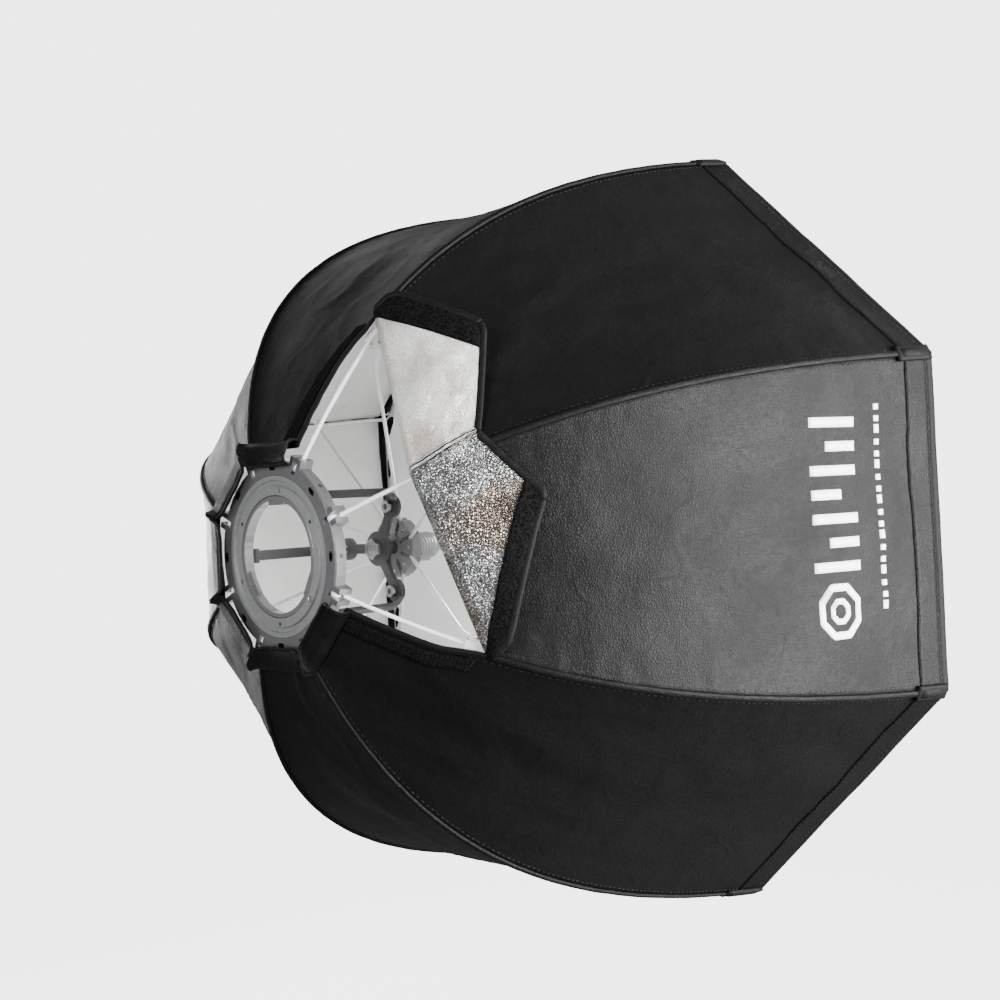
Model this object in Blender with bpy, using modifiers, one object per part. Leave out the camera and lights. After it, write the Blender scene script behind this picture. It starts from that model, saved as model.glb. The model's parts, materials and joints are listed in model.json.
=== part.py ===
"""Umbrella-frame octagonal studio softbox: speedring, eight sprung ribs, runner, fabric hood and access flap.

Frame of the row: origin at the centre of the speedring's rear face, +Z up, light out along -Y,
the strobe side at +Y. Angles round the axis are measured from -X (0) towards +Z (90 degrees).
"""

import math

import bmesh
import bpy
from mathutils import Matrix, Vector

MM = 0.001

# Overall
SIDES = 8
PITCH = 360.0 / SIDES
FIRST_RIB = 22.5            # degrees; the ribs sit on the corners of the octagon
RIM_RADIUS = 400.0          # octagon circumradius of the hood (80 cm class)
RIM_DEPTH = 464.0           # from the mount face to the rim
FABRIC = 1.0                # hood fabric thickness
SEAM_SETBACK = 0.7          # each panel stops this far short of the seam plane

# Hood profile along a seam, as a cubic curve in (depth, radius)
HOOD_CURVE = ((0.0, 84.0), (43.7, 281.2), (189.2, 359.9), (464.0, 400.0))
HOOD_START = 0.028
HOOD_STEPS = 15

# Ribs, in (radial, axial) from the hinge pin
PIN_RADIUS = 80.0
PIN_DEPTH = 6.0
RIB_CURVE = ((0.0, 0.0), (231.0, 72.5), (261.0, 190.0), (312.0, 456.0))
RIB_ROD = 2.0               # rod radius
HINGE_PIN = 1.5             # pin radius in the ring's ears
EYE_RADIUS = 4.2            # eye on the rib's end
PIN_PLAY = 0.3
RIB_SPLIT = 0.245           # curve parameter where the outer, springy rod starts
RIB_GAP = 0.0030
CLIP_AT = 0.205
CLIP_DROP = 6.0             # strut pin below the rod centre line
STRUT_PIN = 1.2
STRUT_EYE = 3.2
EYE_WIDTH = 4.2

# Struts and runner
STRUT_ROD = 1.6
RUNNER_PIN_DEPTH = 134.0
RUNNER_PIN_RADIUS = 22.0
RUNNER_BACK = 130.0
RUNNER_FRONT = 142.0
RUNNER_OUTER = 28.0
SLOT_WIDTH = 4.6
SHAFT_RADIUS = 6.0
SHAFT_START = 104.0
SHAFT_END = 372.0

# Speedring
RING_OUTER = 83.0
RING_INNER = 70.3
RING_THICK = 12.0
BORE = 49.0
PLATE_OUTER = 70.0
EAR_REACH = 90.0
EAR_WIDTH = 15.0
EAR_SLOT = 5.2

# Tripod that carries the shaft
LEG_RADIUS = 61.0
LEG_ANGLES = (60.0, -60.0, 180.0)
LEG_WIDTH = 9.0
LEG_THICK = 3.5
LEG_FOOT = 14.3             # depth of the feet, just clear of the adapter plate
SPIDER_DEPTH = 111.0
SPIDER_THICK = 4.0
LOBE_RADIUS = 44.0
LOBE_SIZE = 10.5

# Access opening: where the fold line crosses the three seams round it
OPENING_OUTER = 214.0       # radius on the seams at 67.5 and -22.5 degrees
OPENING_MIDDLE = 163.5      # radius on the seam at 22.5 degrees
FLAP_SLOPE = 62.0           # degrees from the axis
FLAP_THICK = 2.4
FLAP_LIFT = 3.2
FLAP_UPPER = ((1.0, 1.2), (-5.0, 27.0), (50.0, 86.0), (58.0, 89.0), (72.0, 84.0), (119.0, 70.0), (138.0, 62.5), (151.5, 1.2))
FLAP_SIDE = ((1.0, 1.2), (12.0, 26.0), (76.0, 84.0), (84.0, 94.0), (98.0, 98.0), (104.0, 94.0), (160.5, 64.0), (153.0, 1.2))

# Front diffuser
DIFFUSER_DEPTH = 424.0
DIFFUSER_RADIUS = 380.0
DIFFUSER_THICK = 1.4


def clear_scene():
    for obj in list(bpy.data.objects):
        bpy.data.objects.remove(obj, do_unlink=True)


def make_collection(name, hidden=False):
    coll = bpy.data.collections.new(name)
    bpy.context.scene.collection.children.link(coll)
    coll.hide_render = hidden
    return coll


def make_material(name, colour, metallic, roughness):
    mat = bpy.data.materials.new(name)
    mat.use_nodes = True
    shader = mat.node_tree.nodes["Principled BSDF"]
    shader.inputs["Base Color"].default_value = (*colour, 1.0)
    shader.inputs["Metallic"].default_value = metallic
    shader.inputs["Roughness"].default_value = roughness
    mat.diffuse_color = (*colour, 1.0)
    return mat


clear_scene()
PARTS = make_collection("studio_softbox")
CUTTERS = make_collection("cutters", hidden=True)

CAST_SILVER = make_material("cast_silver", (0.55, 0.56, 0.57), 0.6, 0.42)
RING_SILVER = make_material("ring_silver", (0.62, 0.62, 0.63), 0.5, 0.45)
SPIDER_GREY = make_material("spider_grey", (0.17, 0.17, 0.18), 0.3, 0.5)
RUNNER_GREY = make_material("runner_grey", (0.22, 0.22, 0.23), 0.3, 0.45)
ROD_WHITE = make_material("rod_white", (0.78, 0.78, 0.78), 0.1, 0.35)
STEEL = make_material("bright_steel", (0.6, 0.6, 0.61), 1.0, 0.3)
BLACK = make_material("black_plastic", (0.02, 0.02, 0.02), 0.0, 0.5)
HOOD_BLACK = make_material("hood_fabric", (0.018, 0.018, 0.019), 0.0, 0.55)
FLAP_LINING = make_material("flap_lining", (0.72, 0.7, 0.67), 0.5, 0.35)
DIFFUSER_WHITE = make_material("diffuser_cloth", (0.85, 0.85, 0.85), 0.0, 0.8)

AXIS = Matrix.Rotation(math.radians(90.0), 4, "X")   # local +Z runs out along the axis, local +Y is up


def radial(angle):
    a = math.radians(angle)
    return Vector((-math.cos(a), 0.0, math.sin(a)))


def at(angle, depth, radius):
    """World point at this angle round the axis, depth from the mount face and radius, in millimetres."""
    return (radial(angle) * radius + Vector((0.0, -depth, 0.0))) * MM


def spoke_frame(angle, depth, radius):
    """Matrix whose local X is radial, Z axial (towards the light) and Y tangential, at this pin."""
    a = math.radians(angle)
    rows = Matrix(((-math.cos(a), -math.sin(a), 0.0), (0.0, 0.0, -1.0), (math.sin(a), -math.cos(a), 0.0)))
    return Matrix.Translation(at(angle, depth, radius)) @ rows.to_4x4()


def bezier(curve, t):
    p = [Vector(point) for point in curve]
    s = 1.0 - t
    return s ** 3 * p[0] + 3 * t * s * s * p[1] + 3 * t * t * s * p[2] + t ** 3 * p[3]


def bezier_tangent(curve, t):
    p = [Vector(point) for point in curve]
    s = 1.0 - t
    return (3 * (s * s * (p[1] - p[0]) + 2 * t * s * (p[2] - p[1]) + t * t * (p[3] - p[2]))).normalized()


def place(obj, material, matrix=None, coll=PARTS):
    if matrix is not None:
        obj.matrix_world = matrix
    if obj.data.materials:
        obj.data.materials[0] = material
    else:
        obj.data.materials.append(material)
    for holder in list(obj.users_collection):
        holder.objects.unlink(obj)
    coll.objects.link(obj)
    return obj


def mesh_object(name, bm, material, matrix=None, coll=PARTS):
    mesh = bpy.data.meshes.new(name)
    bmesh.ops.recalc_face_normals(bm, faces=bm.faces)
    bm.to_mesh(mesh)
    bm.free()
    obj = bpy.data.objects.new(name, mesh)
    if coll is CUTTERS:
        obj.display_type = "WIRE"
        obj.hide_render = True
    return place(obj, material, matrix, coll)


def box(name, low, high, material, matrix=None, coll=PARTS):
    bm = bmesh.new()
    bmesh.ops.create_cube(bm, size=1.0)
    size = Vector(high) - Vector(low)
    middle = (Vector(high) + Vector(low)) * 0.5
    bmesh.ops.scale(bm, vec=size * MM, verts=bm.verts)
    bmesh.ops.translate(bm, vec=middle * MM, verts=bm.verts)
    return mesh_object(name, bm, material, matrix, coll)


def rod(name, radius, low, high, material, matrix=None, coll=PARTS, sides=24):
    """Plain cylinder along local Z."""
    bm = bmesh.new()
    bmesh.ops.create_cone(bm, cap_ends=True, segments=sides, radius1=radius * MM, radius2=radius * MM,
                          depth=(high - low) * MM)
    bmesh.ops.translate(bm, vec=(0.0, 0.0, (high + low) * 0.5 * MM), verts=bm.verts)
    return mesh_object(name, bm, material, matrix, coll)


def lathe(name, profile, material, steps=48, coll=PARTS):
    """Closed (radius, depth) outline turned about the axis; it runs down the outer side first."""
    mesh = bpy.data.meshes.new(name)
    points = [(r * MM, 0.0, z * MM) for r, z in profile]
    edges = [(i, (i + 1) % len(points)) for i in range(len(points))]
    if profile[0][0] == 0.0:
        edges = edges[:-1]
    mesh.from_pydata(points, edges, [])
    obj = bpy.data.objects.new(name, mesh)
    place(obj, material, AXIS, coll)
    turn = obj.modifiers.new("turn", "SCREW")
    turn.steps = steps
    turn.render_steps = steps
    turn.use_merge_vertices = True
    turn.merge_threshold = 0.00005
    turn.use_smooth_shade = True
    if coll is CUTTERS:
        obj.display_type = "WIRE"
        obj.hide_render = True
    return obj


def combine(target, tool, operation):
    cut = target.modifiers.new(operation.lower() + "_" + tool.name, "BOOLEAN")
    cut.operation = operation
    cut.object = tool
    cut.solver = "EXACT"
    return cut


def soften(obj, width, segments=2, angle=40.0):
    bevel = obj.modifiers.new("edges", "BEVEL")
    bevel.width = width * MM
    bevel.segments = segments
    bevel.limit_method = "ANGLE"
    bevel.angle_limit = math.radians(angle)
    return bevel


def wire(name, points, radius, material, matrix, sides=2):
    """Round rod through these local points."""
    data = bpy.data.curves.new(name, "CURVE")
    data.dimensions = "3D"
    data.bevel_depth = radius * MM
    data.bevel_resolution = sides
    data.use_fill_caps = True
    spline = data.splines.new("POLY")
    spline.points.add(len(points) - 1)
    for point, place_at in zip(spline.points, points):
        point.co = (*[value * MM for value in place_at], 1.0)
    obj = bpy.data.objects.new(name, data)
    return place(obj, material, matrix)


def prism(name, outline, low, high, material, matrix, coll=PARTS):
    """Flat outline (x, y) carried from z=low to z=high."""
    bm = bmesh.new()
    verts = [bm.verts.new((x * MM, y * MM, low * MM)) for x, y in outline]
    face = bm.faces.new(verts)
    grown = bmesh.ops.extrude_face_region(bm, geom=[face])
    moved = [v for v in grown["geom"] if isinstance(v, bmesh.types.BMVert)]
    bmesh.ops.translate(bm, vec=(0.0, 0.0, (high - low) * MM), verts=moved)
    return mesh_object(name, bm, material, matrix, coll)


def cross_rod(name, radius, half, material, matrix, sides=14):
    """Cutter: cylinder along local Y, as a pin, an eye or an eye's hole."""
    turn = Matrix.Rotation(math.radians(90.0), 4, "X")
    return rod(name, radius, -half, half, material, matrix @ turn, CUTTERS, sides)


def as_mesh(obj):
    """The same object with its curve turned into a mesh, so that it can take a Boolean."""
    graph = bpy.context.evaluated_depsgraph_get()
    mesh = bpy.data.meshes.new_from_object(obj.evaluated_get(graph))
    bm = bmesh.new()
    bm.from_mesh(mesh)
    bmesh.ops.remove_doubles(bm, verts=bm.verts, dist=0.00001)
    bmesh.ops.recalc_face_normals(bm, faces=bm.faces)
    bm.to_mesh(mesh)
    bm.free()
    for polygon in mesh.polygons:
        polygon.use_smooth = True
    name, matrix, material = obj.name, obj.matrix_world.copy(), obj.data.materials[0]
    bpy.data.objects.remove(obj, do_unlink=True)
    return place(bpy.data.objects.new(name, mesh), material, matrix)


def add_eye(obj, tag, eye, pin, matrix):
    """Eye with running clearance round a pin, at the start of a rod."""
    boss = cross_rod(f"{tag}_eye", eye, EYE_WIDTH / 2, ROD_WHITE, matrix)
    combine(obj, boss, "UNION")
    hole = cross_rod(f"{tag}_hole", pin + PIN_PLAY, EYE_WIDTH, ROD_WHITE, matrix)
    combine(obj, hole, "DIFFERENCE")


def build_ring():
    """Hinge ring with eight forked ears for the rib pins."""
    lip = 1.2
    ring = lathe("hinge_ring", [(RING_OUTER, RING_THICK - lip), (RING_OUTER, lip), (RING_OUTER - lip, 0.0),
                                (RING_INNER, 0.0), (RING_INNER, RING_THICK), (RING_OUTER - lip, RING_THICK)],
                 RING_SILVER, steps=64)
    ear_half = EAR_WIDTH / 2
    for k in range(SIDES):
        angle = FIRST_RIB + k * PITCH
        frame = spoke_frame(angle, 0.0, 0.0)
        ear = box(f"ear_{k}", (PIN_RADIUS - 6.0, -ear_half, 0.4), (EAR_REACH, ear_half, RING_THICK + 1.5),
                  RING_SILVER, frame, CUTTERS)
        combine(ring, ear, "UNION")
    for k in range(SIDES):
        angle = FIRST_RIB + k * PITCH
        frame = spoke_frame(angle, 0.0, 0.0)
        slot = box(f"ear_slot_{k}", (PIN_RADIUS - 5.0, -EAR_SLOT / 2, -2.0), (EAR_REACH + 4.0, EAR_SLOT / 2, RING_THICK + 6.0),
                   RING_SILVER, frame, CUTTERS)
        combine(ring, slot, "DIFFERENCE")
    for k in range(SIDES):
        angle = FIRST_RIB + k * PITCH
        pin = cross_rod(f"hinge_pin_{k}", HINGE_PIN, ear_half - 0.4, RING_SILVER, spoke_frame(angle, PIN_DEPTH, PIN_RADIUS))
        combine(ring, pin, "UNION")
    return ring


def build_plates():
    """Adapter plate with its shallow dish and groove, and the three-lug bayonet insert inside it."""
    lathe("adapter_plate", [(PLATE_OUTER + 3.0, 14.0), (PLATE_OUTER + 3.0, 12.3), (PLATE_OUTER, 12.3), (PLATE_OUTER, 0.0),
                            (66.0, 0.0), (65.0, 1.5), (62.0, 1.5), (61.0, 0.0), (BORE + 4.3, 0.0), (BORE + 4.3, 6.0),
                            (BORE + 8.0, 14.0)], CAST_SILVER, steps=64)
    insert = lathe("bayonet_insert", [(BORE + 4.0, 9.0), (BORE + 4.0, 0.8), (BORE + 3.2, 0.0), (BORE, 0.0), (BORE, 9.0)],
                   STEEL, steps=48)
    for k in range(3):
        frame = spoke_frame(90.0 + 120.0 * k, 0.0, 0.0)
        lug = box(f"lug_{k}", (BORE - 4.5, -11.0, 2.0), (BORE + 2.0, 11.0, 6.0), STEEL, frame, CUTTERS)
        combine(insert, lug, "UNION")


def build_spider():
    """Three flat legs that bend into a plate carrying the shaft."""
    hub = rod("spider", 16.0, SPIDER_DEPTH, SPIDER_DEPTH + SPIDER_THICK, SPIDER_GREY, AXIS, sides=32)
    for k, angle in enumerate(LEG_ANGLES):
        frame = spoke_frame(angle, 0.0, 0.0)
        half = LEG_WIDTH / 2
        arm = box(f"arm_{k}", (8.0, -half, SPIDER_DEPTH), (LOBE_RADIUS, half, SPIDER_DEPTH + SPIDER_THICK),
                  SPIDER_GREY, frame, CUTTERS)
        combine(hub, arm, "UNION")
        lobe = rod(f"lobe_{k}", LOBE_SIZE, SPIDER_DEPTH, SPIDER_DEPTH + SPIDER_THICK, SPIDER_GREY,
                   spoke_frame(angle, 0.0, LOBE_RADIUS), CUTTERS, sides=20)
        combine(hub, lobe, "UNION")
        bend = 14.0
        inner = LEG_RADIUS - LEG_THICK
        side = [(LEG_RADIUS, LEG_FOOT), (LEG_RADIUS, SPIDER_DEPTH + SPIDER_THICK - bend)]
        for step in range(1, 5):
            a = math.radians(90.0 * step / 4)
            side.append((LEG_RADIUS - bend + bend * math.cos(a), SPIDER_DEPTH + SPIDER_THICK - bend + bend * math.sin(a)))
        side.append((LOBE_RADIUS - 4.0, SPIDER_DEPTH + SPIDER_THICK))
        side.append((LOBE_RADIUS - 4.0, SPIDER_DEPTH))
        for step in range(4, -1, -1):
            a = math.radians(90.0 * step / 4)
            small = bend - LEG_THICK
            side.append((LEG_RADIUS - bend + small * math.cos(a), SPIDER_DEPTH + SPIDER_THICK - bend + small * math.sin(a)))
        side.append((inner, LEG_FOOT))
        # the outline lies in the radial-axial plane and is carried across the leg's width
        turn = Matrix.Rotation(math.radians(90.0), 4, "X")
        leg = prism(f"leg_{k}", side, -half, half, SPIDER_GREY, frame @ turn, CUTTERS)
        combine(hub, leg, "UNION")
        foot = box(f"foot_{k}", (LEG_RADIUS - 9.0, -half - 2.0, LEG_FOOT), (LEG_RADIUS + 5.0, half + 2.0, LEG_FOOT + 3.5),
                   SPIDER_GREY, frame, CUTTERS)
        combine(hub, foot, "UNION")
    bore = rod("spider_bore", SHAFT_RADIUS + 0.3, SPIDER_DEPTH - 4.0, SPIDER_DEPTH + 10.0, SPIDER_GREY, AXIS, CUTTERS, 24)
    combine(hub, bore, "DIFFERENCE")
    return hub


def build_shaft():
    collar = SPIDER_DEPTH + SPIDER_THICK + 0.3
    lathe("centre_shaft", [(0.0, SHAFT_END), (SHAFT_RADIUS - 0.8, SHAFT_END), (SHAFT_RADIUS, SHAFT_END - 0.8),
                           (SHAFT_RADIUS, collar + 4.0), (SHAFT_RADIUS + 3.5, collar + 3.0), (SHAFT_RADIUS + 3.5, collar),
                           (SHAFT_RADIUS, collar), (SHAFT_RADIUS, SHAFT_START), (0.0, SHAFT_START)], STEEL, steps=24)
    nut = rod("shaft_nut", 9.5, SHAFT_START - 0.5, SPIDER_DEPTH - 0.3, STEEL, AXIS, sides=6)
    hole = rod("nut_bore", SHAFT_RADIUS + 0.3, SHAFT_START - 4.0, SPIDER_DEPTH + 2.0, STEEL, AXIS, CUTTERS, 24)
    combine(nut, hole, "DIFFERENCE")
    stop = rod("shaft_end_stop", 11.0, SHAFT_END - 8.0, SHAFT_END - 1.0, BLACK, AXIS, sides=28)
    pocket = rod("stop_bore", SHAFT_RADIUS + 0.3, SHAFT_END - 12.0, SHAFT_END + 4.0, BLACK, AXIS, CUTTERS, 24)
    combine(stop, pocket, "DIFFERENCE")


def build_leg_bolts():
    for k, angle in enumerate(LEG_ANGLES):
        frame = spoke_frame(angle, 0.0, LOBE_RADIUS)
        low = SPIDER_DEPTH - 6.3
        bolt = rod(f"leg_bolt_{k + 1}", 5.5, low, SPIDER_DEPTH - 0.3, STEEL, frame, sides=20)
        socket = rod(f"socket_{k}", 2.9, low - 2.0, low + 3.2, STEEL, frame, CUTTERS, 6)
        combine(bolt, socket, "DIFFERENCE")


def build_runner():
    """Slotted runner hub on the shaft, its front collar and the grip with the latch button."""
    bore = SHAFT_RADIUS + 0.4
    hub = lathe("runner_hub", [(RUNNER_OUTER, RUNNER_FRONT - 1.0), (RUNNER_OUTER, RUNNER_BACK + 1.0),
                               (RUNNER_OUTER - 1.0, RUNNER_BACK), (bore, RUNNER_BACK), (bore, RUNNER_FRONT),
                               (RUNNER_OUTER - 1.0, RUNNER_FRONT)], RUNNER_GREY, steps=48)
    for k in range(SIDES):
        frame = spoke_frame(FIRST_RIB + k * PITCH, 0.0, 0.0)
        slot = box(f"runner_slot_{k}", (14.5, -SLOT_WIDTH / 2, RUNNER_BACK - 3.0), (RUNNER_OUTER + 4.0, SLOT_WIDTH / 2, RUNNER_FRONT + 3.0),
                   RUNNER_GREY, frame, CUTTERS)
        combine(hub, slot, "DIFFERENCE")
    lathe("runner_collar", [(13.5, RUNNER_FRONT + 12.0), (13.5, RUNNER_FRONT + 0.3), (bore, RUNNER_FRONT + 0.3),
                            (bore, RUNNER_FRONT + 12.0)], RUNNER_GREY, steps=32)
    grip = lathe("runner_grip", [(10.0, RUNNER_FRONT + 36.0), (12.0, RUNNER_FRONT + 34.0), (12.0, RUNNER_FRONT + 13.3),
                                 (11.0, RUNNER_FRONT + 12.3), (bore, RUNNER_FRONT + 12.3), (bore, RUNNER_FRONT + 36.0)],
                 BLACK, steps=32)
    window = box("grip_window", (6.0, -3.8, RUNNER_FRONT + 17.0), (16.0, 3.8, RUNNER_FRONT + 31.0), BLACK,
                 spoke_frame(-90.0, 0.0, 0.0), CUTTERS)
    combine(grip, window, "DIFFERENCE")
    middle = RUNNER_FRONT + 24.0
    button = box("release_button", (-3.0, -3.4, -6.6), (3.6, 3.4, 6.6), STEEL, spoke_frame(-90.0, middle, 11.0))
    soften(button, 0.8)


def rib_points(first, last, steps):
    found = []
    for step in range(steps + 1):
        x, z = bezier(RIB_CURVE, first + (last - first) * step / steps)
        found.append((x, 0.0, z))
    return found


def clip_pin():
    """Strut pin on the rib, in (radial, axial) from the hinge pin."""
    here = bezier(RIB_CURVE, CLIP_AT)
    along = bezier_tangent(RIB_CURVE, CLIP_AT)
    return here + Vector((-along[1], along[0])) * CLIP_DROP


def build_rib(k):
    angle = FIRST_RIB + k * PITCH
    pin = spoke_frame(angle, PIN_DEPTH, PIN_RADIUS)
    tag = k + 1
    inner = as_mesh(wire(f"rib_inner_{tag}", rib_points(0.0, RIB_SPLIT, 6), RIB_ROD, ROD_WHITE, pin))
    add_eye(inner, f"rib_{tag}", EYE_RADIUS, HINGE_PIN, pin)
    split = bezier(RIB_CURVE, RIB_SPLIT)
    outer = [(x - split[0], 0.0, z - split[1]) for x, _, z in rib_points(RIB_SPLIT + RIB_GAP, 1.0, 14)]
    wire(f"rib_outer_{tag}", outer, RIB_ROD, ROD_WHITE, pin @ Matrix.Translation((split[0] * MM, 0.0, split[1] * MM)))
    here = bezier(RIB_CURVE, CLIP_AT)
    along = bezier_tangent(RIB_CURVE, CLIP_AT)
    tilt = math.atan2(along[0], along[1])
    clip_frame = pin @ Matrix.Translation((here[0] * MM, 0.0, here[1] * MM)) @ Matrix.Rotation(tilt, 4, "Y")
    clip = box(f"rib_clip_{tag}", (-10.5, -4.6, -8.0), (3.6, 4.6, 8.0), ROD_WHITE, clip_frame)
    gap = box(f"clip_gap_{tag}", (-20.0, -2.5, -20.0), (2.4, 2.5, 20.0), ROD_WHITE, clip_frame, CUTTERS)
    combine(clip, gap, "DIFFERENCE")
    drop = clip_frame @ Matrix.Translation((-CLIP_DROP * MM, 0.0, 0.0))
    combine(clip, cross_rod(f"clip_pin_{tag}", STRUT_PIN, 4.2, ROD_WHITE, drop), "UNION")


def build_strut(k):
    angle = FIRST_RIB + k * PITCH
    pin = spoke_frame(angle, PIN_DEPTH, PIN_RADIUS)
    x0, z0 = clip_pin()
    dx = RUNNER_PIN_RADIUS - PIN_RADIUS - x0
    dz = RUNNER_PIN_DEPTH - PIN_DEPTH - z0
    long = math.hypot(dx, dz)
    jog = 5.0
    side = Vector((-dz / long, dx / long))
    if side[0] < 0.0:
        side = -side
    points = []
    for share, push in ((0.0, 0.0), (0.05, 0.0), (0.11, jog * 0.8), (0.16, jog), (0.8, 1.5), (1.0, 0.0)):
        points.append((dx * share - side[0] * push, 0.0, dz * share - side[1] * push))
    frame = pin @ Matrix.Translation((x0 * MM, 0.0, z0 * MM))
    strut = as_mesh(wire(f"strut_{k + 1}", points, STRUT_ROD, ROD_WHITE, frame))
    add_eye(strut, f"strut_{k + 1}", STRUT_EYE, STRUT_PIN, frame)


def hood_strip():
    """Closed (mid-facet radius, depth) outline of one panel's thickness."""
    flat = math.cos(math.radians(PITCH / 2))
    outer = []
    inner = []
    for step in range(HOOD_STEPS + 1):
        t = HOOD_START + (1.0 - HOOD_START) * (step / HOOD_STEPS) ** 1.15
        z, r = bezier(HOOD_CURVE, t)
        dz, dr = bezier_tangent(HOOD_CURVE, t)
        slope = Vector((dz, dr * flat)).normalized()
        outer.append((r * flat, z))
        inner.append((r * flat - slope[0] * FABRIC, z + slope[1] * FABRIC))
    return outer + inner[::-1]


def build_panel(k, strip):
    """Developable panel between two seams: the strip carried across, then trimmed to the seam planes."""
    angle = FIRST_RIB + (k + 0.5) * PITCH
    turn = Matrix.Rotation(math.radians(90.0), 4, "X")
    panel = prism(f"panel_{k + 1}", strip, -190.0, 190.0, HOOD_BLACK, spoke_frame(angle, 0.0, 0.0) @ turn)
    reach = 700.0
    half = math.radians(PITCH / 2)
    tip = SEAM_SETBACK / math.sin(half)
    wedge = prism(f"wedge_{k + 1}", [(tip, 0.0), (tip + reach, -reach * math.tan(half)), (tip + reach, reach * math.tan(half))],
                  -20.0, 520.0, HOOD_BLACK, spoke_frame(angle, 0.0, 0.0), CUTTERS)
    combine(panel, wedge, "INTERSECT")
    return panel


def hood_point(angle, radius):
    """World point on the hood's seam curve at this angle, where it reaches this radius."""
    low, high = 0.0, 1.0
    for _ in range(40):
        middle = (low + high) / 2
        if bezier(HOOD_CURVE, middle)[1] < radius:
            low = middle
        else:
            high = middle
    depth = bezier(HOOD_CURVE, low)[0]
    return at(angle, depth, radius)


def flap_frame(corner, other, angle):
    """Matrix on the fold line: X along it from corner to other, Y outwards along the flap, Z away from the hood."""
    slope = math.radians(FLAP_SLOPE)
    down = Vector((0.0, -1.0, 0.0)) * math.cos(slope) + radial(angle) * math.sin(slope)
    x = (other - corner).normalized()
    z = x.cross(down).normalized()
    if z.dot(radial(angle)) < 0.0:
        z = -z
    y = z.cross(x)
    if y.dot(down) < 0.0:
        y = -y
    rows = Matrix((x, y, z)).transposed().to_4x4()
    return Matrix.Translation(corner) @ rows


def build_opening(panels):
    """Cuts the rear corner off the two near panels and lays the loose piece back over them."""
    middle = hood_point(FIRST_RIB, OPENING_MIDDLE)
    upper = hood_point(FIRST_RIB + PITCH, OPENING_OUTER)
    lower = hood_point(FIRST_RIB - PITCH, OPENING_OUTER)
    flaps = (("flap_upper", upper, FIRST_RIB + PITCH / 2, panels[0], FLAP_UPPER),
             ("flap_side", lower, FIRST_RIB - PITCH / 2, panels[-1], FLAP_SIDE))
    for name, corner, angle, panel, outline in flaps:
        frame = flap_frame(corner, middle, angle)
        knife = box(f"{name}_knife", (-60.0, -260.0, -90.0), (260.0, 0.0, 90.0), HOOD_BLACK, frame, CUTTERS)
        combine(panel, knife, "DIFFERENCE")
        prism(name, outline, FLAP_LIFT, FLAP_LIFT + FLAP_THICK, FLAP_LINING, frame)


def build_diffuser():
    outline = []
    for k in range(SIDES):
        point = radial(FIRST_RIB + k * PITCH) * DIFFUSER_RADIUS
        outline.append((point.x, point.z))
    prism("front_diffuser", outline, DIFFUSER_DEPTH, DIFFUSER_DEPTH + DIFFUSER_THICK, DIFFUSER_WHITE, AXIS)


def build():
    build_ring()
    build_plates()
    build_spider()
    build_shaft()
    build_leg_bolts()
    build_runner()
    for k in range(SIDES):
        build_rib(k)
        build_strut(k)
    strip = hood_strip()
    panels = [build_panel(k, strip) for k in range(SIDES)]
    build_opening(panels)
    build_diffuser()


build()
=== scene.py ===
"""Looks of the studio softbox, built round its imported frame.

Row frame: origin at the centre of the speedring's rear face, light out along -Y, +Z up. Angles round the
axis run from -X (0) towards +Z (90). Lengths on the hood are in millimetres of the flat pattern:
s runs back from the rim, x runs across a panel towards the next rib.
"""

import json
import math

import bmesh
import bpy
import numpy as np
from mathutils import Matrix, Vector, noise

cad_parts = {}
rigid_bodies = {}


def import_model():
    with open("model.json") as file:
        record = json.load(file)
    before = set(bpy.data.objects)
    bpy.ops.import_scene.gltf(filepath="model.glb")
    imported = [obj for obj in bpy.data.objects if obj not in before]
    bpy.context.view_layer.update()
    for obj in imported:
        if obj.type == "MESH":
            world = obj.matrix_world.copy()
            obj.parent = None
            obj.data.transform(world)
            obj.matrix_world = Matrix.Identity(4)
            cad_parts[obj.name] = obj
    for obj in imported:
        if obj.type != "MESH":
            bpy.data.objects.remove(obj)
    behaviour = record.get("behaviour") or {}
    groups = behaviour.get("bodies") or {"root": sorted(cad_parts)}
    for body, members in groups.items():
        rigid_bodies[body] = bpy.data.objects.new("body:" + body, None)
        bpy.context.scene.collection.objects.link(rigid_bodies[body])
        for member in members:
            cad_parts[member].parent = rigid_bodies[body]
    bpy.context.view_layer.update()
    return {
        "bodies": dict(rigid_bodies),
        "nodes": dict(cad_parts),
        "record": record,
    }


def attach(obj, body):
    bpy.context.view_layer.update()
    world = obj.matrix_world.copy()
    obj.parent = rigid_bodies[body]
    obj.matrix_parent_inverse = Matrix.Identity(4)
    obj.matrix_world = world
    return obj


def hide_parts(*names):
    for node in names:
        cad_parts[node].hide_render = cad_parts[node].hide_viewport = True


# Lengths are in millimetres and angles in degrees, unless a name says otherwise.
MM = 0.001
SIDES = 8
PITCH = 45.0
FIRST_RIB = 22.5
HALF = math.radians(PITCH / 2)  # in radians
# (depth, radius) at a seam
HOOD_CURVE = np.array(((0.0, 84.0), (43.7, 281.2), (189.2, 359.9), (464.0, 400.0)))
HOOD_START = 0.028  # where the cloth begins on that curve
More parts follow.
